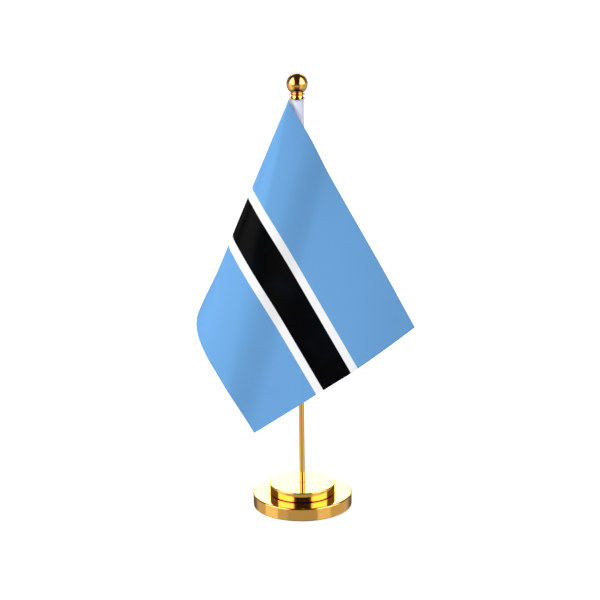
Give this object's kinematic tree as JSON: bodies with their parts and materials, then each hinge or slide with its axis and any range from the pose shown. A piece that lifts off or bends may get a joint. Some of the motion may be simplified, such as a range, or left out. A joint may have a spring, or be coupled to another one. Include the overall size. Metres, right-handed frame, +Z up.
{
  "type": "desk flag stand",
  "caption": "Desk flag stand: a stepped polished gold base, a thin gold pole with a ball finial, and a small banded cloth flag that turns on the pole.",
  "frame": {"origin": "centre of the felt pad's underside, on the pole's axis", "axes": "+Z up along the pole, +X towards the flag's free top corner, -Y towards the front"},
  "size_m": [0.1542, 0.072, 0.3183],
  "materials": {
    "polished_gold": "mirror-polished gold plate",
    "brass": "turned",
    "zinc_steel": "zinc plated",
    "cast_iron": "as cast",
    "black_plastic": "moulded",
    "black_felt": "pressed felt",
    "white_nylon": "moulded",
    "clear_rubber": "soft, matt",
    "white_cloth": "satin polyester",
    "banded_cloth": "satin polyester, printed in bands of light blue, white and black"
  },
  "bodies": {
    "stand": {"base_lower_shell": "polished_gold", "base_upper_shell": "polished_gold", "ballast_disc": "cast_iron", "upper_spacer": "black_plastic", "bottom_plate": "zinc_steel", "felt_pad": "black_felt", "clamp_washer": "zinc_steel", "lock_washer": "zinc_steel", "clamp_nut": "zinc_steel", "pole_collar": "brass", "pole": "polished_gold", "sleeve_stop_ring": "clear_rubber"},
    "flag": {"flag_sleeve": "white_cloth", "flag_cloth": "banded_cloth"},
    "thread": {"finial_washer": "white_nylon"},
    "finial": {"finial_neck": "polished_gold", "finial_ball": "polished_gold", "finial_stud": "zinc_steel"}
  },
  "joints": [
    {"name": "flag_swivel", "type": "hinge", "parent": "stand", "child": "flag", "pos_m": [0, 0, 0.2], "axis": [0, 0, 1], "continuous": true},
    {"name": "finial_lift", "type": "slide", "parent": "stand", "child": "thread", "axis": [0, 0, 1], "range_m": [0, 0.0054]},
    {"name": "finial_turn", "type": "hinge", "parent": "thread", "child": "finial", "pos_m": [0, 0, 0.3], "axis": [0, 0, 1], "range_deg": [0, 4320]}
  ],
  "couplings": [
    {"joint": "finial_lift", "follows": "finial_turn", "m_per_rad": 0.00007162}
  ]
}
